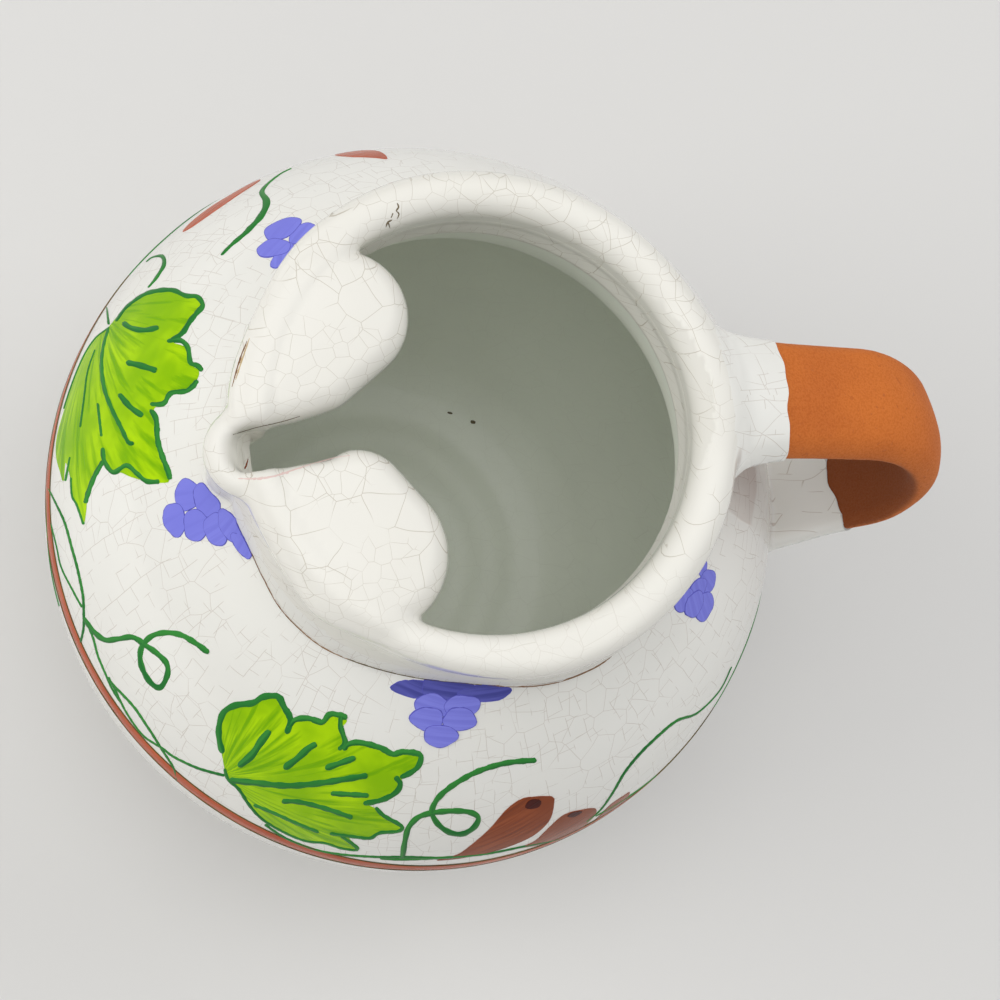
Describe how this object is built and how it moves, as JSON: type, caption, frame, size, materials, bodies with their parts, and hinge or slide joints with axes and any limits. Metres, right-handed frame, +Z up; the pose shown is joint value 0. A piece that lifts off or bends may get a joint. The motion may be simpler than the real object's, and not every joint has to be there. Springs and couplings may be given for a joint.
{
  "type": "ice-guard pitcher",
  "caption": "Round white-glazed earthenware pitcher with a lobed ice-guard rim, a narrow pouring slot, a bare clay strap handle and painted grapevines.",
  "frame": {"origin": "middle of the flat foot, on the table", "axes": "+Z up, +X towards the handle, -X towards the pouring lip"},
  "size_m": [0.2, 0.172, 0.1717],
  "materials": {
    "red_clay": "bare fired terracotta",
    "white_glaze": "glossy crackled white glaze",
    "inside_glaze": "glossy white glaze",
    "stripe_red": "salmon underglaze colour",
    "brick_red": "brick-red underglaze colour",
    "leaf_green": "yellow-green underglaze colour",
    "stem_green": "dark green underglaze colour",
    "grape_violet": "blue-violet underglaze colour"
  },
  "bodies": {
    "root": {"clay_body": "red_clay", "handle_strap": "red_clay", "outer_glaze": "white_glaze", "inner_glaze": "inside_glaze", "rolled_rim": "white_glaze", "right_lobe": "white_glaze", "left_lobe": "white_glaze", "pouring_lip": "white_glaze", "upper_handle_glaze": "white_glaze", "lower_handle_glaze": "white_glaze", "belly_stripe": "stripe_red", "painted_vine": "stem_green", "painted_leaves": "leaf_green", "painted_grapes": "grape_violet", "painted_petals": "brick_red", "painted_tendrils": "stem_green"}
  },
  "joints": []
}
